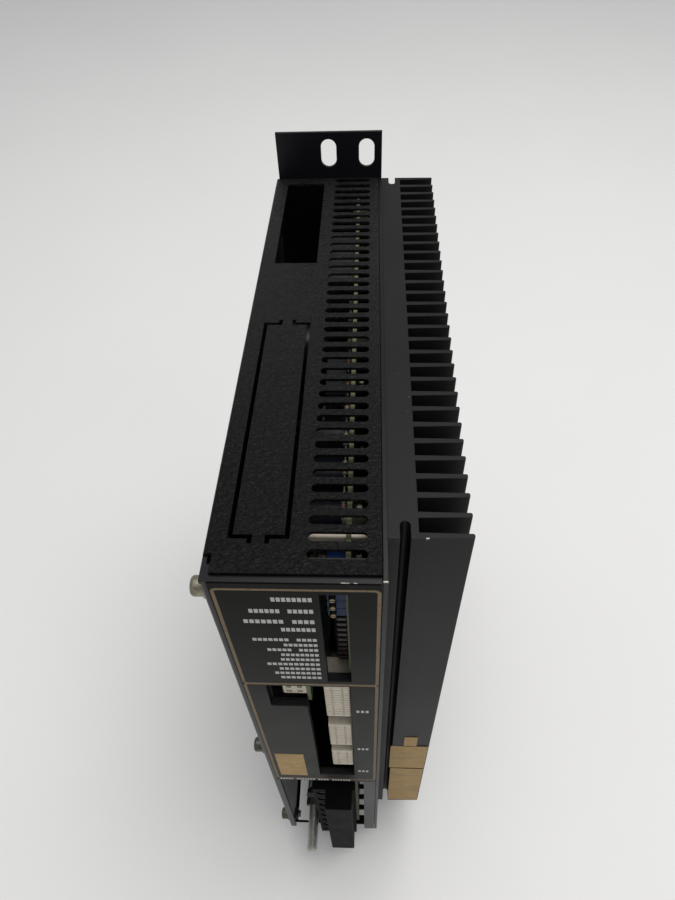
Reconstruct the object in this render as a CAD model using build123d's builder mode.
from build123d import *
import os

# Panel-mount analogue servo drive.
# Millimetres. +X across the width towards the heatsink, -Y out of the front panel, +Z up.
# The origin is on the rear mounting face, midway across the chassis and midway up it.

os.makedirs("parts", exist_ok=True)

# ---------------------------------------------------------------- driving dimensions
chassis_width = 56.3
chassis_height = 318.5
chassis_depth = 246.5
layout_depth = 246.5          # depth that the inner layout is drawn for
chassis_sheet = 1.5
cover_sheet = 1.2
fit_gap = 0.2                 # between sheets that slide past each other
bend_radius = 1.2

flange_rise = 24.0            # mounting flange above and below the chassis
mount_slot_width = 8.0
mount_slot_length = 14.6
mount_slot_rise = 13.2        # slot centre above the chassis top
mount_slot_spacing = 19.8
mount_slot_inset = 7.9        # right slot centre from the right side

sink_setback = 15.6           # heatsink front face behind the front panel
sink_rear_gap = 0.5
sink_length = 310.0
sink_base = 9.7
sink_total = 26.8             # base and fin together
fin_count = 30
fin_root = 2.4
fin_tip = 1.7
groove_width = 3.4
groove_depth = 6.7
groove_centre = 5.5           # from the base's inner face
sink_hole_depth = 7.5

panel_return = 8.7            # depth of the front panel's return flanges
corner_relief = 2.9           # width of the cover's cut-back front corner
relief_start = 6.0
cover_front = 2.2             # cover's front edge behind the panel face

vent_start = 9.1
vent_pitch = 6.3
vent_rear_margin = 4.2
vent_width = 3.4
vent_length = 18.6
vent_board_offset = 2.4       # vent centre line left of the main board's face

opening_left = 6.8            # open cut-out in the rear of the cover
opening_length = 74.4
opening_rear_margin = 7.9
knockout_start = 14.4
knockout_gap = 43.5           # between the knock-out and the open cut-out
knockout_cut = 1.5
knockout_vent_gap = 5.6
knockout_tab = 4.0
knockout_hook = 1.8

board_thickness = 1.6
board_edge_gap = 3.8          # boards' front edge behind the panel's face
board_end_gap = 4.5           # main board's ends from the chassis top and bottom
main_standoff = 9.8
control_standoff = 16.1
control_board_length = 146.2
control_board_height = 122.0
control_board_drop = 78.0
control_tab_height = 26.0     # part of its front edge that reaches the panel
control_setback = 50.0        # the rest of its front edge behind the panel's face

backing_sheet = 1.8           # plate behind the front panel
overlay_thickness = 0.3
overlay_edge = 2.2
overlay_height = 206.0
terminal_opening_drop = 209.0
terminal_opening_left = 3.7
terminal_opening_right = 8.0
cable_slot_left = 4.7         # opening in the bottom beside the ground stud
cable_slot_right = 10.1
cable_slot_wide = 12.9        # right edge of its wider front part
cable_slot_margin = 1.2       # from the cover's front edge
cable_slot_length = 58.0
cable_slot_step = 11.0        # length of the wider part

window_drop = 7.8
window_height = 66.2
window_width = 8.9
window_board_overlap = 0.9    # window edge past the main board's face
header_opening_drop = 79.0
header_opening_height = 117.7
header_opening_width = 17.8
aux_opening_height = 21.2
aux_opening_width = 14.8

trimmer_length = 19.05
trimmer_width = 4.83
trimmer_height = 6.35
trimmer_drop = 14.0
trimmer_pitch = 5.08
trimmer_setback = 5.2
trimmer_names = ["stability", "current_limit", "command_scale", "balance"]
adjuster_radius = 1.15
adjuster_clearance = 0.05
adjuster_stand = 1.6
adjuster_depth = 6.0
adjuster_rise = 4.5           # screw axis above the board

led_count = 9
led_drop = 38.9
led_pitch = 3.96
led_width = 2.5
led_length = 4.0
led_setback = 7.4
led_rise = 2.2                # lamp centre above the board
led_depth = 5.0

contact_pitch = 2.54
connector_height = 10.2       # off the board
connector_depth = 11.0
connector_setback = 0.6
connector_rows = {             # drop of its top, rows of contacts
    "connector_c1": (79.3, 13),
    "connector_c2": (124.5, 10),
    "connector_c3": (160.2, 8),
}
aux_rows = 4
aux_pitch = 4.2

pole_pitch = 12.2
block_width = 22.6
block_proud = 2.6
nose_width = 14.2
nose_proud = 12.0
clamp_radius = 2.6
clamp_recess = 0.6            # screw head below the block's face
clamp_head = 2.4
clamp_plate = 2.0

stud_radius = 3.5             # plain front end
stud_shank = 3.4              # behind the front nut
stud_left = 15.3
stud_proud = 15.0
stud_length = 40.0
stud_rise = 6.6

capacitor_radius = 17.5
capacitor_length = 36.0
capacitor_pitch = 37.5
capacitor_drop = 64.0
rear_zone = 158.0             # where the tall parts start, behind the front panel
relay_size = (18.5, 40.0, 26.0)
transformer_size = (34.0, 40.0, 48.0)

screw_radius = 2.0
hole_clearance = 0.2
nut_clearance = 0.05
head_radius = 3.4
head_height = 3.2
washer_radius = 4.0
washer_thickness = 0.9
lock_step = 0.6               # lock washer's rim inside the flat washer's
lock_thickness = 1.3
clinch_radius = 3.6
clinch_thickness = 2.4
side_screw_setback = 5.4
side_screw_drops = [13.5, 169.0]
side_screw_rise = 9.5         # lowest screw above the bottom
side_screw_length = 9.0

# ---------------------------------------------------------------- reference planes
left = -chassis_width / 2
right = chassis_width / 2
front = -chassis_depth
top = chassis_height / 2
bottom = -top


def from_front(distance):
    return front + distance


def inside(distance):
    """A place along the depth that keeps its share of it when the depth changes."""
    return front + distance * chassis_depth / layout_depth


def from_top(distance):
    return top - distance


def from_left(distance):
    return left + distance


side_inner = right - chassis_sheet
plate_left = left + cover_sheet + fit_gap
lid_right = side_inner - fit_gap
panel_top = top - cover_sheet - 0.1
board_right = side_inner - main_standoff
board_left = board_right - board_thickness
control_right = board_left - control_standoff
control_left = control_right - board_thickness
sink_front = front + sink_setback
sink_rear = -sink_rear_gap
sink_top = top - 1.0
sink_bottom = sink_top - sink_length
vent_centre = board_left - vent_board_offset
vent_count = int((chassis_depth - vent_start - vent_rear_margin) / vent_pitch) + 1
opening_right = vent_centre - vent_length / 2 - knockout_vent_gap
opening_start = -opening_rear_margin - opening_length
terminal_right = right - terminal_opening_right
pole_count = int((chassis_height - terminal_opening_drop - 4.0) / pole_pitch)
block_height = pole_count * pole_pitch + 3.0
block_bottom = bottom + cover_sheet + 0.3
block_top = block_bottom + block_height
board_hole_radius = 1.7
side_screw_heights = [from_top(drop) for drop in side_screw_drops] + [bottom + side_screw_rise]
front_screw_y = front + side_screw_setback


def solid_box(low, high, mode=Mode.ADD):
    """A box between two corners, in the part being built."""
    centre = [(a + b) / 2 for a, b in zip(low, high)]
    size = [b - a for a, b in zip(low, high)]
    with Locations(tuple(centre)):
        Box(*size, mode=mode)


def cylinder_x(x0, x1, y, z, radius, mode=Mode.ADD):
    """A cylinder along X."""
    with Locations(Location(((x0 + x1) / 2, y, z), (0, 90, 0))):
        Cylinder(radius, abs(x1 - x0), mode=mode)


def cylinder_y(y0, y1, x, z, radius, mode=Mode.ADD):
    """A cylinder along Y."""
    with Locations(Location((x, (y0 + y1) / 2, z), (90, 0, 0))):
        Cylinder(radius, abs(y1 - y0), mode=mode)


# ---------------------------------------------------------------- fixing points
main_holes_y = [from_front(30), from_front(chassis_depth / 2), -22.0]
main_holes_z = [top - 11.0, bottom + 11.0]
main_holes = [(y, z) for y in main_holes_y for z in main_holes_z]
control_low = from_top(control_board_drop + control_board_height)
control_high = from_top(control_board_drop)
control_rear = inside(board_edge_gap + control_board_length)
control_holes = [
    (y, z)
    for y in (from_front(control_setback + 11), control_rear - 8)
    for z in (control_high - 10, control_low + 10)
]
sink_holes = [
    (y, z)
    for y in (sink_front + 12, (sink_front + sink_rear) / 2, sink_rear - 12)
    for z in (top - 42, bottom + 42)
]
module_length = 62.0
module_width = 34.0
module_thickness = 8.4
module_hole_inset = 4.5
module_window_gap = 1.0
module_centres = {
    "power_module_a": (inside(76), from_top(96)),
    "power_module_b": (inside(76), from_top(170)),
    "bridge_rectifier": (inside(158), from_top(96)),
}
module_holes = [
    (y, z + sign * (module_length / 2 - module_hole_inset))
    for y, z in module_centres.values()
    for sign in (-1, 1)
]

# ---------------------------------------------------------------- chassis
# One folded sheet: the side plate that carries the heatsink, and the rear plate with the
# slotted mounting flanges above and below it.
with BuildPart() as chassis:
    with BuildSketch(Plane.XZ):
        with Locations(((plate_left + right) / 2, 0)):
            Rectangle(right - plate_left, chassis_height + 2 * flange_rise)
    extrude(amount=chassis_sheet)
    solid_box((side_inner, front, bottom + 0.2), (right, 0, top - 0.4))
    solid_box(
        (plate_left, -14.0, bottom + 5.4), (plate_left + chassis_sheet, 0, top - 6)
    )
    inner_corner = chassis.edges().filter_by(Axis.Z).filter_by(
        lambda edge: abs(edge.center().X - side_inner) < 0.01
        and abs(edge.center().Y + chassis_sheet) < 0.01
    )
    fillet(inner_corner, bend_radius)
    with BuildSketch(Plane.XZ):
        for side in (-1, 1):
            slot_z = side * (top + mount_slot_rise)
            for shift in (0, mount_slot_spacing):
                with Locations(Location((right - mount_slot_inset - shift, slot_z), 90)):
                    SlotOverall(mount_slot_length, mount_slot_width)
    extrude(amount=chassis_sheet, mode=Mode.SUBTRACT)
    for y, z in sink_holes:
        cylinder_x(side_inner, right, y, z, screw_radius + hole_clearance, Mode.SUBTRACT)
    for y, z in main_holes:
        cylinder_x(side_inner, right, y, z, board_hole_radius, Mode.SUBTRACT)
    half_width = module_width / 2 + module_window_gap
    half_length = module_length / 2 + module_window_gap
    for y, z in module_centres.values():
        solid_box(
            (side_inner, y - half_width, z - half_length),
            (right, y + half_width, z + half_length),
            Mode.SUBTRACT,
        )
chassis.part.label = "chassis"
export_step(chassis.part, "parts/chassis.step")

# ---------------------------------------------------------------- front panel
# A folded sheet with return flanges at the left, the top and the right. The lower part is
# cut away for the power terminals, which leaves a strip down each side.
window_right = board_left + window_board_overlap
window_left = window_right - window_width
header_right = window_right - 0.6
header_left = header_right - header_opening_width
aux_right = header_left
aux_left = aux_right - aux_opening_width
panel_windows = [
    (window_left, window_right, from_top(window_drop + window_height), from_top(window_drop)),
    (
        header_left, header_right,
        from_top(header_opening_drop + header_opening_height), from_top(header_opening_drop),
    ),
    (
        aux_left, aux_right + 0.01,
        from_top(header_opening_drop + aux_opening_height), from_top(header_opening_drop),
    ),
]
with BuildPart() as front_panel:
    solid_box((left, front, bottom), (lid_right, front + chassis_sheet, panel_top))
    solid_box((left, front, bottom), (left + chassis_sheet, front + panel_return, panel_top))
    corner = front_panel.edges().filter_by(Axis.Z).sort_by(Axis.X)[:2].sort_by(Axis.Y)[0]
    fillet(corner, bend_radius)
    solid_box(
        (left, front, panel_top - chassis_sheet), (lid_right, front + relief_start, panel_top)
    )
    solid_box(
        (left + corner_relief, front, panel_top - chassis_sheet),
        (lid_right, front + panel_return, panel_top),
    )
    solid_box(
        (lid_right - chassis_sheet, front, bottom),
        (lid_right, front + panel_return, panel_top),
    )
    solid_box(
        (from_left(terminal_opening_left), front, bottom),
        (terminal_right, front + panel_return, from_top(terminal_opening_drop)),
        Mode.SUBTRACT,
    )
    for x0, x1, z0, z1 in panel_windows:
        solid_box((x0, front, z0), (x1, front + chassis_sheet, z1), Mode.SUBTRACT)
    for z in side_screw_heights:
        cylinder_x(
            left, left + chassis_sheet, front_screw_y, z,
            screw_radius + hole_clearance, Mode.SUBTRACT,
        )
front_panel.part.label = "front_panel"
export_step(front_panel.part, "parts/front_panel.step")

# Plate behind the front panel, with the same windows. It carries the printed sheet's studs.
strip_inner = left + chassis_sheet
strip_outer = strip_inner + chassis_sheet
backing_left = strip_outer + clinch_thickness + 2 * fit_gap
backing_right = lid_right - chassis_sheet - 2 * fit_gap
with BuildPart() as panel_backing:
    solid_box(
        (backing_left, front + chassis_sheet, from_top(overlay_height - 2.0)),
        (backing_right, front + chassis_sheet + backing_sheet, panel_top - chassis_sheet - 2 * fit_gap),
    )
    for x0, x1, z0, z1 in panel_windows:
        solid_box(
            (x0, front + chassis_sheet, z0), (x1, front + chassis_sheet + backing_sheet, z1),
            Mode.SUBTRACT,
        )
panel_backing.part.label = "panel_backing"
export_step(panel_backing.part, "parts/panel_backing.step")

# ---------------------------------------------------------------- printed overlay
with BuildPart() as panel_overlay:
    solid_box(
        (from_left(overlay_edge), front - overlay_thickness, panel_top - 0.5 - overlay_height),
        (lid_right - 0.2, front, panel_top - 0.5),
    )
    for x0, x1, z0, z1 in panel_windows:
        solid_box((x0, front - overlay_thickness, z0), (x1, front, z1), Mode.SUBTRACT)
panel_overlay.part.label = "panel_overlay"
export_step(panel_overlay.part, "parts/panel_overlay.step")

# ---------------------------------------------------------------- cover
# Top, left side and bottom in one folded sheet. The top has one column of slots, an open
# cut-out at the rear and a knock-out plate held by a tab at each end.
cover_rear = -chassis_sheet - fit_gap
vent_points = [
    (vent_centre, from_front(vent_start + index * vent_pitch)) for index in range(vent_count)
]
knockout_end = opening_start - knockout_gap
knockout_left_edge = from_left(opening_left)
knockout_first = from_front(knockout_start)
with BuildPart() as cover:
    with BuildSketch(Plane.XZ.offset(-cover_rear)):
        with BuildLine():
            Polyline(
                (lid_right, top), (left, top), (left, bottom), (lid_right, bottom),
                (lid_right, bottom + cover_sheet), (left + cover_sheet, bottom + cover_sheet),
                (left + cover_sheet, top - cover_sheet), (lid_right, top - cover_sheet),
                close=True,
            )
        make_face()
    extrude(amount=cover_rear - from_front(cover_front))
    fold_edges = cover.edges().filter_by(Axis.Y).group_by(Axis.X)[0]
    fillet(fold_edges, bend_radius)
    solid_box(
        (left, front, bottom), (left + corner_relief, from_front(panel_return + fit_gap), top),
        Mode.SUBTRACT,
    )
    solid_box(
        (left, front, bottom),
        (left + chassis_sheet + fit_gap, from_front(panel_return + fit_gap), top),
        Mode.SUBTRACT,
    )
    solid_box(
        (terminal_right, front, bottom),
        (right, from_front(panel_return + fit_gap), bottom + cover_sheet),
        Mode.SUBTRACT,
    )
    rear_corners = cover.edges().filter_by(Axis.Z).filter_by(
        lambda edge: abs(edge.center().X - lid_right) < 0.01 and edge.center().Y > cover_rear - 0.01
    )
    chamfer(rear_corners, bend_radius)
    # slots over and under the boards
    with BuildSketch(Plane.XY.offset(bottom)):
        with Locations(*vent_points):
            SlotOverall(vent_length, vent_width)
    extrude(amount=chassis_height, mode=Mode.SUBTRACT)
    # open cut-out
    solid_box(
        (from_left(opening_left), opening_start, top - cover_sheet),
        (opening_right, opening_start + opening_length, top),
        Mode.SUBTRACT,
    )
    # knock-out: two long cuts, and at each end a cut that stops either side of the tab
    for x in (knockout_left_edge, opening_right - knockout_cut):
        solid_box(
            (x, knockout_first, top - cover_sheet), (x + knockout_cut, knockout_end, top),
            Mode.SUBTRACT,
        )
    knockout_centre = (knockout_left_edge + opening_right) / 2
    for end, outward in ((knockout_first, -1), (knockout_end - knockout_cut, 1)):
        for side in (-1, 1):
            inner = knockout_centre + side * knockout_tab / 2
            outer = knockout_left_edge if side < 0 else opening_right
            solid_box(
                (min(inner, outer), end, top - cover_sheet),
                (max(inner, outer), end + knockout_cut, top),
                Mode.SUBTRACT,
            )
            hook = min(inner, inner + side * knockout_cut)
            hook_low = end - knockout_hook if outward < 0 else end
            hook_high = end + knockout_cut if outward < 0 else end + knockout_cut + knockout_hook
            solid_box(
                (hook, hook_low, top - cover_sheet), (hook + knockout_cut, hook_high, top),
                Mode.SUBTRACT,
            )
    # cable opening in the bottom, wider at its front
    cable_slot_front = from_front(cover_front + cable_slot_margin)
    for edge, length in ((cable_slot_right, cable_slot_length), (cable_slot_wide, cable_slot_step)):
        solid_box(
            (from_left(cable_slot_left), cable_slot_front, bottom),
            (from_left(edge), cable_slot_front + length, bottom + cover_sheet),
            Mode.SUBTRACT,
        )
cover.part.label = "cover"
export_step(cover.part, "parts/cover.step")

# ---------------------------------------------------------------- joining strip
# Spot welded to the front panel's left return, behind the cover's wall. The front screws of
# the left side pass through both.
with BuildPart() as joining_strip:
    solid_box((strip_inner, front + 1.7, bottom + 5.4), (strip_outer, front + 26, top - 8))
    for z in side_screw_heights:
        cylinder_x(
            strip_inner, strip_outer, front_screw_y, z, screw_radius + hole_clearance, Mode.SUBTRACT
        )
joining_strip.part.label = "joining_strip"
export_step(joining_strip.part, "parts/joining_strip.step")

# ---------------------------------------------------------------- side fasteners
# Each point is a pan head screw with a split washer over a flat washer, and a nut inside. The
# cover's rear end has no screws: it slips over the chassis's left return.
side_points = [(front_screw_y, z) for z in side_screw_heights]
under_head = left - washer_thickness - lock_thickness

with BuildPart() as flat_washers:
    with BuildSketch(Plane.YZ.offset(left)):
        with Locations(*side_points):
            Circle(washer_radius)
            Circle(screw_radius + hole_clearance, mode=Mode.SUBTRACT)
    extrude(amount=-washer_thickness)
flat_washers.part.label = "flat_washers"
export_step(flat_washers.part, "parts/flat_washers.step")

with BuildPart() as lock_washers:
    with BuildSketch(Plane.YZ.offset(left - washer_thickness)):
        with Locations(*side_points):
            Circle(washer_radius - lock_step)
            Circle(screw_radius + hole_clearance, mode=Mode.SUBTRACT)
        with Locations(*[(y + 3.0, z) for y, z in side_points]):
            Rectangle(2.6, 0.7, rotation=20, mode=Mode.SUBTRACT)
    extrude(amount=-lock_thickness)
lock_washers.part.label = "lock_washers"
export_step(lock_washers.part, "parts/lock_washers.step")

with BuildPart() as side_screws:
    with BuildSketch(Plane.YZ.offset(under_head)):
        with Locations(*side_points):
            Circle(head_radius)
    extrude(amount=-head_height)
    rims = side_screws.edges().filter_by(GeomType.CIRCLE).group_by(Axis.X)[0]
    fillet(rims, 1.3)
    with BuildSketch(Plane.YZ.offset(under_head - head_height)):
        with Locations(*side_points):
            Rectangle(4.0, 0.9, rotation=35)
            Rectangle(0.9, 4.0, rotation=35)
    extrude(amount=1.4, mode=Mode.SUBTRACT)
    with BuildSketch(Plane.YZ.offset(under_head)):
        with Locations(*side_points):
            Circle(screw_radius)
    extrude(amount=side_screw_length)
side_screws.part.label = "side_screws"
export_step(side_screws.part, "parts/side_screws.step")

with BuildPart() as clinch_nuts:
    with BuildSketch(Plane.YZ.offset(strip_outer)):
        with Locations(*side_points):
            RegularPolygon(clinch_radius, 6)
            Circle(screw_radius + nut_clearance, mode=Mode.SUBTRACT)
    extrude(amount=clinch_thickness)
clinch_nuts.part.label = "clinch_nuts"
export_step(clinch_nuts.part, "parts/clinch_nuts.step")

# ---------------------------------------------------------------- heatsink
# One extrusion, drawn in plan and run up the drive: a base with a screw groove in its front
# and rear edge, and fins that thin towards their tips.
fin_start = right + sink_base
fin_end = right + sink_total
fin_step = (sink_rear - sink_front - fin_root) / (fin_count - 1)
with BuildPart() as heatsink:
    with BuildSketch(Plane.XY.offset(sink_bottom)):
        with Locations(((right + fin_start) / 2, (sink_front + sink_rear) / 2)):
            Rectangle(sink_base, sink_rear - sink_front)
        for index in range(fin_count):
            fin_y = sink_front + fin_root / 2 + index * fin_step
            with BuildLine():
                Polyline(
                    (fin_start - 1, fin_y - fin_root / 2), (fin_end, fin_y - fin_tip / 2),
                    (fin_end, fin_y + fin_tip / 2), (fin_start - 1, fin_y + fin_root / 2),
                    close=True,
                )
            make_face()
        tip_corners = [vertex for vertex in vertices() if abs(vertex.X - fin_end) < 0.01]
        fillet(tip_corners, 0.6)
        groove_x = right + groove_centre
        for edge_y, inward in ((sink_front, 1), (sink_rear, -1)):
            with Locations((groove_x, edge_y + inward * (groove_depth - groove_width) / 2)):
                Rectangle(groove_width, groove_depth - groove_width, mode=Mode.SUBTRACT)
            with Locations((groove_x, edge_y + inward * (groove_depth - groove_width / 2))):
                Circle(groove_width / 2, mode=Mode.SUBTRACT)
            with Locations((groove_x, edge_y + inward * (groove_depth - groove_width * 0.75))):
                Rectangle(groove_width, groove_width / 2, mode=Mode.SUBTRACT)
    extrude(amount=sink_length)
    for y, z in sink_holes:
        cylinder_x(right, right + sink_hole_depth, y, z, screw_radius + nut_clearance, Mode.SUBTRACT)
    for y, z in module_holes:
        cylinder_x(right, right + sink_hole_depth, y, z, screw_radius + nut_clearance, Mode.SUBTRACT)
heatsink.part.label = "heatsink"
export_step(heatsink.part, "parts/heatsink.step")

sink_head = 2.4
sink_head_radius = 3.6
with BuildPart() as heatsink_screws:
    for y, z in sink_holes:
        cylinder_x(side_inner - sink_head, side_inner, y, z, sink_head_radius)
        cylinder_x(side_inner, right + sink_hole_depth - 1.0, y, z, screw_radius)
    with BuildSketch(Plane.YZ.offset(side_inner - sink_head)):
        with Locations(*sink_holes):
            RegularPolygon(1.7, 6)
    extrude(amount=1.3, mode=Mode.SUBTRACT)
heatsink_screws.part.label = "heatsink_screws"
export_step(heatsink_screws.part, "parts/heatsink_screws.step")

# ---------------------------------------------------------------- power devices
# Modules pass through windows in the side plate and clamp on the heatsink through a pad.
pad_thickness = 0.4
module_face = right - pad_thickness - module_thickness
with BuildPart() as thermal_pads:
    for y, z in module_centres.values():
        solid_box(
            (right - pad_thickness, y - module_width / 2, z - module_length / 2),
            (right, y + module_width / 2, z + module_length / 2),
        )
    for y, z in module_holes:
        cylinder_x(right - pad_thickness, right, y, z, screw_radius + hole_clearance, Mode.SUBTRACT)
thermal_pads.part.label = "thermal_pads"
export_step(thermal_pads.part, "parts/thermal_pads.step")

for name, (y, z) in module_centres.items():
    with BuildPart() as module:
        solid_box(
            (module_face, y - module_width / 2, z - module_length / 2),
            (right - pad_thickness, y + module_width / 2, z + module_length / 2),
        )
        fillet(module.edges().filter_by(Axis.X), 2.0)
        chamfer(module.faces().sort_by(Axis.X)[0].edges(), 0.5)
        for sign in (-1, 1):
            hole_z = z + sign * (module_length / 2 - module_hole_inset)
            cylinder_x(
                module_face, right, y, hole_z, screw_radius + hole_clearance, Mode.SUBTRACT
            )
    module.part.label = name
    export_step(module.part, f"parts/{name}.step")

module_head = 2.2
with BuildPart() as module_screws:
    for y, z in module_holes:
        cylinder_x(module_face - module_head, module_face, y, z, head_radius)
        cylinder_x(module_face, right + sink_hole_depth - 1.0, y, z, screw_radius)
module_screws.part.label = "module_screws"
export_step(module_screws.part, "parts/module_screws.step")

switch_y, switch_z = inside(158), from_top(170)
with BuildPart() as thermal_switch:
    cylinder_x(side_inner - 5.6, side_inner, switch_y, switch_z, 7.6)
    solid_box(
        (side_inner - 0.8, switch_y - 12, switch_z - 4), (side_inner, switch_y + 12, switch_z + 4)
    )
    for sign in (-1, 1):
        tab_y = switch_y + sign * 3.2
        solid_box(
            (side_inner - 8.6, tab_y - 0.4, switch_z - 2.4),
            (side_inner - 5.0, tab_y + 0.4, switch_z + 2.4),
        )
thermal_switch.part.label = "thermal_switch"
export_step(thermal_switch.part, "parts/thermal_switch.step")

# ---------------------------------------------------------------- circuit boards
# The main board stands on edge beside the heatsink; the control board is carried on it.
board_front = from_front(board_edge_gap)
with BuildPart() as main_board:
    solid_box(
        (board_left, board_front, bottom + board_end_gap), (board_right, -16.0, top - board_end_gap)
    )
    for y, z in main_holes + control_holes:
        cylinder_x(board_left, board_right, y, z, board_hole_radius, Mode.SUBTRACT)
main_board.part.label = "main_board"
export_step(main_board.part, "parts/main_board.step")

with BuildPart() as control_board:
    solid_box(
        (control_left, from_front(control_setback), control_low),
        (control_right, control_rear, control_high),
    )
    solid_box(
        (control_left, board_front, control_high - control_tab_height),
        (control_right, from_front(control_setback), control_high),
    )
    for y, z in control_holes:
        cylinder_x(control_left, control_right, y, z, board_hole_radius, Mode.SUBTRACT)
control_board.part.label = "control_board"
export_step(control_board.part, "parts/control_board.step")

small_screw = 1.5
hex_radius = 3.0
stub_length = 4.0             # threaded end of a standoff past the board
small_nut = 2.2
small_head = 1.8
small_head_radius = 2.8
with BuildPart() as main_standoffs:
    with BuildSketch(Plane.YZ.offset(board_right)):
        with Locations(*main_holes):
            RegularPolygon(hex_radius, 6)
            Circle(small_screw + nut_clearance, mode=Mode.SUBTRACT)
    extrude(amount=main_standoff)
    with BuildSketch(Plane.YZ.offset(side_inner - chassis_sheet)):
        with Locations(*main_holes):
            Circle(board_hole_radius - 0.1)
    extrude(amount=2 * chassis_sheet)
main_standoffs.part.label = "main_standoffs"
export_step(main_standoffs.part, "parts/main_standoffs.step")

with BuildPart() as control_standoffs:
    with BuildSketch(Plane.YZ.offset(control_right)):
        with Locations(*control_holes):
            RegularPolygon(hex_radius, 6)
            Circle(small_screw + nut_clearance, mode=Mode.SUBTRACT)
    extrude(amount=control_standoff)
    with BuildSketch(Plane.YZ.offset(board_left - stub_length)):
        with Locations(*control_holes):
            Circle(small_screw)
    extrude(amount=stub_length + board_thickness + small_nut + fit_gap)
control_standoffs.part.label = "control_standoffs"
export_step(control_standoffs.part, "parts/control_standoffs.step")

with BuildPart() as standoff_nuts:
    with BuildSketch(Plane.YZ.offset(board_right)):
        with Locations(*control_holes):
            RegularPolygon(hex_radius, 6)
            Circle(small_screw + nut_clearance, mode=Mode.SUBTRACT)
    extrude(amount=small_nut)
standoff_nuts.part.label = "standoff_nuts"
export_step(standoff_nuts.part, "parts/standoff_nuts.step")

with BuildPart() as board_screws:
    for face_x, points in ((board_left, main_holes), (control_left, control_holes)):
        with BuildSketch(Plane.YZ.offset(face_x)):
            with Locations(*points):
                Circle(small_head_radius)
        extrude(amount=-small_head)
        with BuildSketch(Plane.YZ.offset(face_x)):
            with Locations(*points):
                Circle(small_screw)
        extrude(amount=board_thickness + stub_length + 0.5)
        with BuildSketch(Plane.YZ.offset(face_x - small_head)):
            with Locations(*points):
                Rectangle(3.6, 0.8)
                Rectangle(0.8, 3.6)
        extrude(amount=1.0, mode=Mode.SUBTRACT)
board_screws.part.label = "board_screws"
export_step(board_screws.part, "parts/board_screws.step")

# ---------------------------------------------------------------- setting trimmers
# Four multi-turn trimmers lie on the main board behind the upper window. Each has a brass
# adjusting screw that turns in its end.
trimmer_front = from_front(trimmer_setback)
adjuster_x = board_left - adjuster_rise
for index, setting in enumerate(trimmer_names):
    trimmer_z = from_top(trimmer_drop + index * trimmer_pitch)
    with BuildPart() as trimmer:
        solid_box(
            (board_left - trimmer_height, trimmer_front, trimmer_z - trimmer_width / 2),
            (board_left, trimmer_front + trimmer_length, trimmer_z + trimmer_width / 2),
        )
        chamfer(trimmer.edges().filter_by(Axis.Y), 0.35)
        cylinder_y(
            trimmer_front, trimmer_front + adjuster_depth + 0.3, adjuster_x, trimmer_z,
            adjuster_radius + adjuster_clearance, Mode.SUBTRACT,
        )
    trimmer.part.label = f"{setting}_trimmer"
    export_step(trimmer.part, f"parts/{setting}_trimmer.step")

    with BuildPart() as adjuster:
        cylinder_y(
            trimmer_front - adjuster_stand, trimmer_front + adjuster_depth, adjuster_x, trimmer_z,
            adjuster_radius,
        )
        chamfer(adjuster.faces().sort_by(Axis.Y)[0].edges(), 0.2)
        slot_front = trimmer_front - adjuster_stand
        solid_box(
            (adjuster_x - 2, slot_front, trimmer_z - 0.25),
            (adjuster_x + 2, slot_front + 0.7, trimmer_z + 0.25),
            Mode.SUBTRACT,
        )
    adjuster.part.label = f"{setting}_adjuster"
    export_step(adjuster.part, f"parts/{setting}_adjuster.step")

# ---------------------------------------------------------------- status lamps
led_x = board_left - led_rise
led_front = from_front(led_setback)
led_heights = [from_top(led_drop + index * led_pitch) for index in range(led_count)]
with BuildPart() as status_leds:
    with BuildSketch(Plane.XZ.offset(-led_front)):
        with Locations(*[(led_x, z) for z in led_heights]):
            Rectangle(led_length, led_width)
    extrude(amount=-led_depth)
    fillet(status_leds.edges().group_by(Axis.Y)[0], 0.5)
status_leds.part.label = "status_leds"
export_step(status_leds.part, "parts/status_leds.step")

housing_wall = 0.6
housing_setback = 1.2         # behind the lamps' faces
housing_rear = led_front + led_depth + 4.0
led_fit = 0.1
with BuildPart() as led_housing:
    solid_box(
        (
            led_x - led_length / 2 - housing_wall, led_front + housing_setback,
            led_heights[-1] - led_pitch / 2,
        ),
        (board_left, housing_rear, led_heights[0] + led_pitch / 2),
    )
    for z in led_heights:
        solid_box(
            (led_x - led_length / 2 - led_fit, led_front, z - led_width / 2 - led_fit),
            (led_x + led_length / 2 + led_fit, led_front + led_depth, z + led_width / 2 + led_fit),
            Mode.SUBTRACT,
        )
led_housing.part.label = "led_housing"
export_step(led_housing.part, "parts/led_housing.step")

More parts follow.
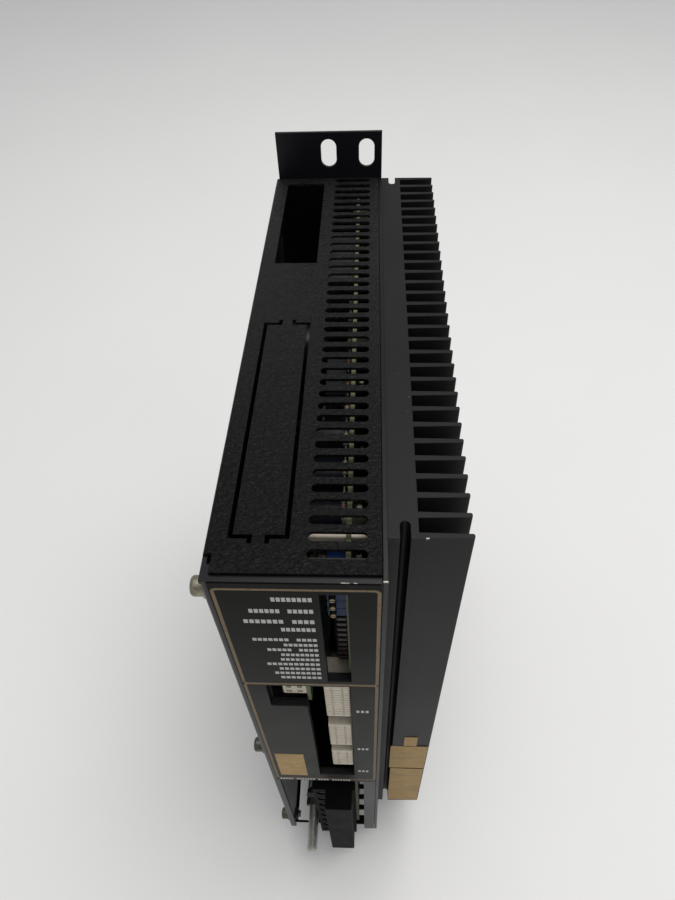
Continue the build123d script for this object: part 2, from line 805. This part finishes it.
# ---------------------------------------------------------------- signal connectors
# White double-row housings behind the tall opening, with a pocket for each contact.
pocket = 0.9
pocket_depth = 6.0
pin_width = 0.64
pin_recess = 1.4
column_shift = 2.1
rib_gap = 0.5                 # line moulded between two rows
rib_depth = 0.7
connector_front = from_front(connector_setback)
connector_x = board_left - connector_height / 2
contact_points = []
for name, (drop, rows) in connector_rows.items():
    housing_top = from_top(drop)
    housing_bottom = housing_top - rows * contact_pitch - 1.2
    row_heights = [housing_top - 0.6 - contact_pitch * (row + 0.5) for row in range(rows)]
    points = [(connector_x + side * column_shift, z) for z in row_heights for side in (-1, 1)]
    contact_points += points
    with BuildPart() as connector:
        solid_box(
            (board_left - connector_height, connector_front, housing_bottom),
            (board_left, connector_front + connector_depth, housing_top),
        )
        chamfer(connector.faces().sort_by(Axis.Y)[0].edges(), 0.4)
        with BuildSketch(Plane.XZ.offset(-connector_front)):
            with Locations(*points):
                Rectangle(pocket, pocket)
        extrude(amount=-pocket_depth, mode=Mode.SUBTRACT)
        with BuildSketch(Plane.XZ.offset(-connector_front)):
            with Locations(*[(connector_x, z + contact_pitch / 2) for z in row_heights[1:]]):
                Rectangle(connector_height, rib_gap)
        extrude(amount=-rib_depth, mode=Mode.SUBTRACT)
    connector.part.label = name
    export_step(connector.part, f"parts/{name}.step")

aux_top = from_top(control_board_drop + 0.8)
aux_height = aux_rows * aux_pitch + 0.8
aux_depth = 10.0
aux_front = from_front(chassis_sheet + backing_sheet + fit_gap)
aux_reach = 9.6               # off the control board
aux_x = control_left - aux_reach / 2
with BuildPart() as aux_connector:
    solid_box(
        (control_left - aux_reach, aux_front, aux_top - aux_height),
        (control_left, aux_front + aux_depth, aux_top),
    )
    chamfer(aux_connector.faces().sort_by(Axis.Y)[0].edges(), 0.4)
    aux_points = [
        (aux_x + side * 2.2, aux_top - 0.4 - aux_pitch * (row + 0.5))
        for row in range(aux_rows)
        for side in (-1, 1)
    ]
    with BuildSketch(Plane.XZ.offset(-aux_front)):
        with Locations(*aux_points):
            Rectangle(2.0, 2.0)
    extrude(amount=-pocket_depth, mode=Mode.SUBTRACT)
aux_connector.part.label = "aux_connector"
export_step(aux_connector.part, "parts/aux_connector.step")

with BuildPart() as connector_pins:
    for pocket_front, points in ((connector_front, contact_points), (aux_front, aux_points)):
        with BuildSketch(Plane.XZ.offset(-pocket_front - pin_recess)):
            with Locations(*points):
                Rectangle(pin_width, pin_width)
        extrude(amount=-(pocket_depth - pin_recess))
connector_pins.part.label = "connector_pins"
export_step(connector_pins.part, "parts/connector_pins.step")

# ---------------------------------------------------------------- power terminals
# One moulded block: a flange with a column of clamp screws, and a nose beside them.
block_left = board_left - block_width
block_front = front - block_proud
block_rear = from_front(14.0)
clamp_under = block_front + clamp_recess + clamp_head
nose_right = board_left - 1.4
clamp_x = block_left + 4.6
chamber_width = 8.0
chamber_half = 4.2            # half its height
chamber_front = from_front(2.0)
chamber_rear = from_front(7.8)
pole_heights = [block_bottom + 1.5 + pole_pitch * (index + 0.5) for index in range(pole_count)]
clamp_points = [(clamp_x, z) for z in pole_heights]
with BuildPart() as terminal_block:
    solid_box((block_left, block_front, block_bottom), (board_left, block_rear, block_top))
    solid_box(
        (nose_right - nose_width, front - nose_proud, block_bottom),
        (nose_right, block_front, block_top),
    )
    nose_edges = terminal_block.edges().group_by(Axis.Y)[0]
    chamfer(nose_edges, 0.6)
    with BuildSketch(Plane.XZ.offset(-block_front)):
        with Locations(*clamp_points):
            Circle(clamp_radius + 0.3)
    extrude(amount=-clamp_recess - clamp_head, mode=Mode.SUBTRACT)
    with BuildSketch(Plane.XZ.offset(-block_front)):
        with Locations(*clamp_points):
            Circle(screw_radius - 0.2)
    extrude(amount=-(chamber_front - block_front), mode=Mode.SUBTRACT)
    for z in pole_heights:
        solid_box(
            (block_left, chamber_front, z - chamber_half),
            (block_left + chamber_width, chamber_rear, z + chamber_half),
            Mode.SUBTRACT,
        )
terminal_block.part.label = "terminal_block"
export_step(terminal_block.part, "parts/terminal_block.step")

with BuildPart() as terminal_screws:
    with BuildSketch(Plane.XZ.offset(-block_front - clamp_recess)):
        with Locations(*clamp_points):
            Circle(clamp_radius)
    extrude(amount=-clamp_head)
    with BuildSketch(Plane.XZ.offset(-clamp_under)):
        with Locations(*clamp_points):
            Circle(screw_radius - 0.4)
    extrude(amount=-(chamber_rear - clamp_plate - clamp_under))
    with BuildSketch(Plane.XZ.offset(-block_front - clamp_recess)):
        with Locations(*clamp_points):
            Rectangle(2 * clamp_radius + 0.6, 0.9, rotation=25)
    extrude(amount=-clamp_head / 2, mode=Mode.SUBTRACT)
terminal_screws.part.label = "terminal_screws"
export_step(terminal_screws.part, "parts/terminal_screws.step")

with BuildPart() as terminal_clamps:
    for z in pole_heights:
        solid_box(
            (block_left + 1.2, chamber_rear - clamp_plate, z - chamber_half + fit_gap),
            (block_left + chamber_width, chamber_rear, z + chamber_half - fit_gap),
        )
terminal_clamps.part.label = "terminal_clamps"
export_step(terminal_clamps.part, "parts/terminal_clamps.step")

# ---------------------------------------------------------------- ground stud
stud_x = from_left(stud_left)
stud_z = bottom + stud_rise
bracket_front = from_front(15.0)
bracket_sheet = 2.0
nut_thickness = 4.0
nut_radius = 5.2
bracket_half = 5.0
with BuildPart() as ground_stud:
    cylinder_y(front - stud_proud, bracket_front - nut_thickness, stud_x, stud_z, stud_radius)
    cylinder_y(
        bracket_front - nut_thickness, front - stud_proud + stud_length, stud_x, stud_z, stud_shank
    )
    chamfer(ground_stud.faces().sort_by(Axis.Y)[0].edges(), 0.7)
    chamfer(ground_stud.faces().sort_by(Axis.Y)[-1].edges(), 0.7)
ground_stud.part.label = "ground_stud"
export_step(ground_stud.part, "parts/ground_stud.step")

with BuildPart() as ground_nuts:
    for face_y in (bracket_front, bracket_front + bracket_sheet + nut_thickness):
        with BuildSketch(Plane.XZ.offset(-face_y)):
            with Locations((stud_x, stud_z)):
                RegularPolygon(nut_radius, 6)
                Circle(stud_shank + nut_clearance, mode=Mode.SUBTRACT)
        extrude(amount=nut_thickness)
ground_nuts.part.label = "ground_nuts"
export_step(ground_nuts.part, "parts/ground_nuts.step")

bracket_floor = bottom + cover_sheet
with BuildPart() as ground_bracket:
    solid_box(
        (stud_x - bracket_half, bracket_front, bracket_floor),
        (stud_x + bracket_half, bracket_front + bracket_sheet, stud_z + 7.0),
    )
    solid_box(
        (stud_x - bracket_half, bracket_front, bracket_floor),
        (stud_x + bracket_half, bracket_front + 16.0, bracket_floor + 0.8),
    )
    cylinder_y(
        bracket_front, bracket_front + bracket_sheet, stud_x, stud_z,
        stud_shank + hole_clearance, Mode.SUBTRACT,
    )
ground_bracket.part.label = "ground_bracket"
export_step(ground_bracket.part, "parts/ground_bracket.step")

# ---------------------------------------------------------------- tall parts at the rear
capacitor_y = inside(rear_zone) + capacitor_radius + 1.0
for index in range(3):
    capacitor_z = from_top(capacitor_drop + index * capacitor_pitch)
    with BuildPart() as capacitor:
        cylinder_x(
            board_left - capacitor_length, board_left, capacitor_y, capacitor_z, capacitor_radius
        )
        rim_edges = capacitor.edges().filter_by(GeomType.CIRCLE)
        fillet(rim_edges, 1.2)
        cylinder_x(
            board_left - capacitor_length, board_left - capacitor_length + 0.6,
            capacitor_y, capacitor_z, capacitor_radius - 3.0, Mode.SUBTRACT,
        )
    capacitor.part.label = f"bus_capacitor_{index + 1}"
    export_step(capacitor.part, f"parts/bus_capacitor_{index + 1}.step")

relay_front = inside(rear_zone) + 2.0
relay_top = top - 8.0
with BuildPart() as relay:
    solid_box(
        (board_left - relay_size[0], relay_front, relay_top - relay_size[2]),
        (board_left, relay_front + relay_size[1], relay_top),
    )
    fillet(relay.faces().sort_by(Axis.X)[0].edges(), 1.0)
relay.part.label = "relay"
export_step(relay.part, "parts/relay.step")

core_front = inside(rear_zone)
core_top = from_top(capacitor_drop + 2 * capacitor_pitch + capacitor_radius + 8.0)
core_width, core_length, core_height = transformer_size
core_left = board_left - core_width - 1.0
limb = 10.0
with BuildPart() as transformer_core:
    solid_box(
        (core_left, core_front, core_top - core_height),
        (core_left + core_width, core_front + core_length, core_top),
    )
    for sign in (-1, 1):
        window_y = core_front + core_length / 2 + sign * (limb / 2 + 5.0)
        solid_box(
            (core_left, window_y - 5.0, core_top - core_height + 6),
            (core_left + core_width, window_y + 5.0, core_top - 6),
            Mode.SUBTRACT,
        )
transformer_core.part.label = "transformer_core"
export_step(transformer_core.part, "parts/transformer_core.step")

coil_gap = 0.3
with BuildPart() as transformer_winding:
    centre_y = core_front + core_length / 2
    solid_box(
        (core_left - 0.6, centre_y - limb / 2 - 10 + coil_gap, core_top - core_height + 6.5),
        (core_left + core_width + 0.6, centre_y + limb / 2 + 10 - coil_gap, core_top - 6.5),
    )
    solid_box(
        (core_left, centre_y - limb / 2 - coil_gap, core_top - core_height),
        (core_left + core_width, centre_y + limb / 2 + coil_gap, core_top),
        Mode.SUBTRACT,
    )
    fillet(transformer_winding.edges().filter_by(Axis.Z).group_by(Axis.X)[0], 0.4)
transformer_winding.part.label = "transformer_winding"
export_step(transformer_winding.part, "parts/transformer_winding.step")

# ---------------------------------------------------------------- smaller board parts
resistor_top = from_top(238.0)
with BuildPart() as brake_resistor:
    solid_box(
        (board_left - 13.0, from_front(52), resistor_top - 12),
        (board_left - 1.0, from_front(112), resistor_top),
    )
    fillet(brake_resistor.edges().filter_by(Axis.Y), 1.2)
    for y in (from_front(56), from_front(107)):
        solid_box((board_left - 1.0, y - 1, resistor_top - 9), (board_left, y + 1, resistor_top - 3))
brake_resistor.part.label = "brake_resistor"
export_step(brake_resistor.part, "parts/brake_resistor.step")

fuse_heights = [from_top(212.0), from_top(225.0)]
fuse_front = from_front(60)
fuse_length = 32.0
fuse_radius = 3.2
fuse_cap = 6.0                # length of a metal end cap
clip_width = 4.0
fuse_x = board_left - 6.5
with BuildPart() as fuses:
    for z in fuse_heights:
        cylinder_y(fuse_front, fuse_front + fuse_length, fuse_x, z, fuse_radius)
        for y in (fuse_front, fuse_front + fuse_length - fuse_cap):
            cylinder_y(y, y + fuse_cap, fuse_x, z, fuse_radius + 0.2)
fuses.part.label = "fuses"
export_step(fuses.part, "parts/fuses.step")

with BuildPart() as fuse_clips:
    for z in fuse_heights:
        for y in (fuse_front + 1.0, fuse_front + fuse_length - 1.0 - clip_width):
            end = y + clip_width
            solid_box((fuse_x - 2.0, y, z - 4.4), (board_left, end, z + 4.4))
            cylinder_y(y, end, fuse_x, z, fuse_radius + 0.25, Mode.SUBTRACT)
            solid_box((fuse_x - 2.0, y, z - 2.6), (fuse_x, end, z + 2.6), Mode.SUBTRACT)
fuse_clips.part.label = "fuse_clips"
export_step(fuse_clips.part, "parts/fuse_clips.step")

can_radius = 8.0
can_height = 22.0
can_points = [(inside(48 + 20 * index), from_top(36)) for index in range(3)]
with BuildPart() as filter_capacitors:
    with BuildSketch(Plane.YZ.offset(board_left)):
        with Locations(*can_points):
            Circle(can_radius)
    extrude(amount=-can_height)
    fillet(filter_capacitors.edges().filter_by(GeomType.CIRCLE).group_by(Axis.X)[0], 0.9)
filter_capacitors.part.label = "filter_capacitors"
export_step(filter_capacitors.part, "parts/filter_capacitors.step")

sensor_y, sensor_z = inside(122), from_top(40)
sensor_length, sensor_width, sensor_height = 28.0, 24.0, 12.0
with BuildPart() as current_sensor:
    solid_box(
        (board_left - sensor_height, sensor_y - sensor_length / 2, sensor_z - sensor_width / 2),
        (board_left, sensor_y + sensor_length / 2, sensor_z + sensor_width / 2),
    )
    fillet(current_sensor.edges().filter_by(Axis.X), 1.5)
    cylinder_y(
        sensor_y - sensor_length / 2, sensor_y + sensor_length / 2,
        board_left - sensor_height / 2, sensor_z, 3.4, Mode.SUBTRACT,
    )
current_sensor.part.label = "current_sensor"
export_step(current_sensor.part, "parts/current_sensor.step")

chip_length = 19.2
chip_width = 6.4
chip_points = [
    (inside(65 + 24 * column), control_high - 30 - 24 * row)
    for row in range(3)
    for column in range(4)
]
with BuildPart() as control_chips:
    with BuildSketch(Plane.YZ.offset(control_left)):
        with Locations(*chip_points):
            with GridLocations(contact_pitch, chip_width + 0.8, 7, 2):
                Rectangle(0.8, 0.8)
    extrude(amount=-2.2)
    with BuildSketch(Plane.YZ.offset(control_left - 0.5)):
        with Locations(*chip_points):
            Rectangle(chip_length, chip_width)
    extrude(amount=-3.1)
control_chips.part.label = "control_chips"
export_step(control_chips.part, "parts/control_chips.step")

# Nylon guides either side of the main board's top front corner.
guide_left = control_right + 2.4
guide_right = side_inner - 3.0
with BuildPart() as edge_guides:
    for x0, x1 in ((guide_left, board_left), (board_right, guide_right)):
        solid_box((x0, from_front(18.5), top - 8.3), (x1, from_front(21.5), top - 5.2))
    fillet(edge_guides.edges().filter_by(Axis.X).group_by(Axis.Z)[-1], 0.6)
edge_guides.part.label = "edge_guides"
export_step(edge_guides.part, "parts/edge_guides.step")

# ---------------------------------------------------------------- blank paper labels
label_thickness = 0.15
sink_labels = [(13.1, 19.9, 185.0, 198.6), (6.3, 26.1, 199.6, 237.8), (7.1, 26.1, 239.6, 308.4)]
with BuildPart() as heatsink_labels:
    for x0, x1, high, low in sink_labels:
        solid_box(
            (right + x0, sink_front - label_thickness, from_top(low)),
            (right + x1, sink_front, from_top(high)),
        )
heatsink_labels.part.label = "heatsink_labels"
export_step(heatsink_labels.part, "parts/heatsink_labels.step")

with BuildPart() as panel_label:
    label_face = front - overlay_thickness
    solid_box(
        (from_left(5.5), label_face - label_thickness, from_top(198.4)),
        (from_left(19.4), label_face, from_top(163.8)),
    )
panel_label.part.label = "panel_label"
export_step(panel_label.part, "parts/panel_label.step")
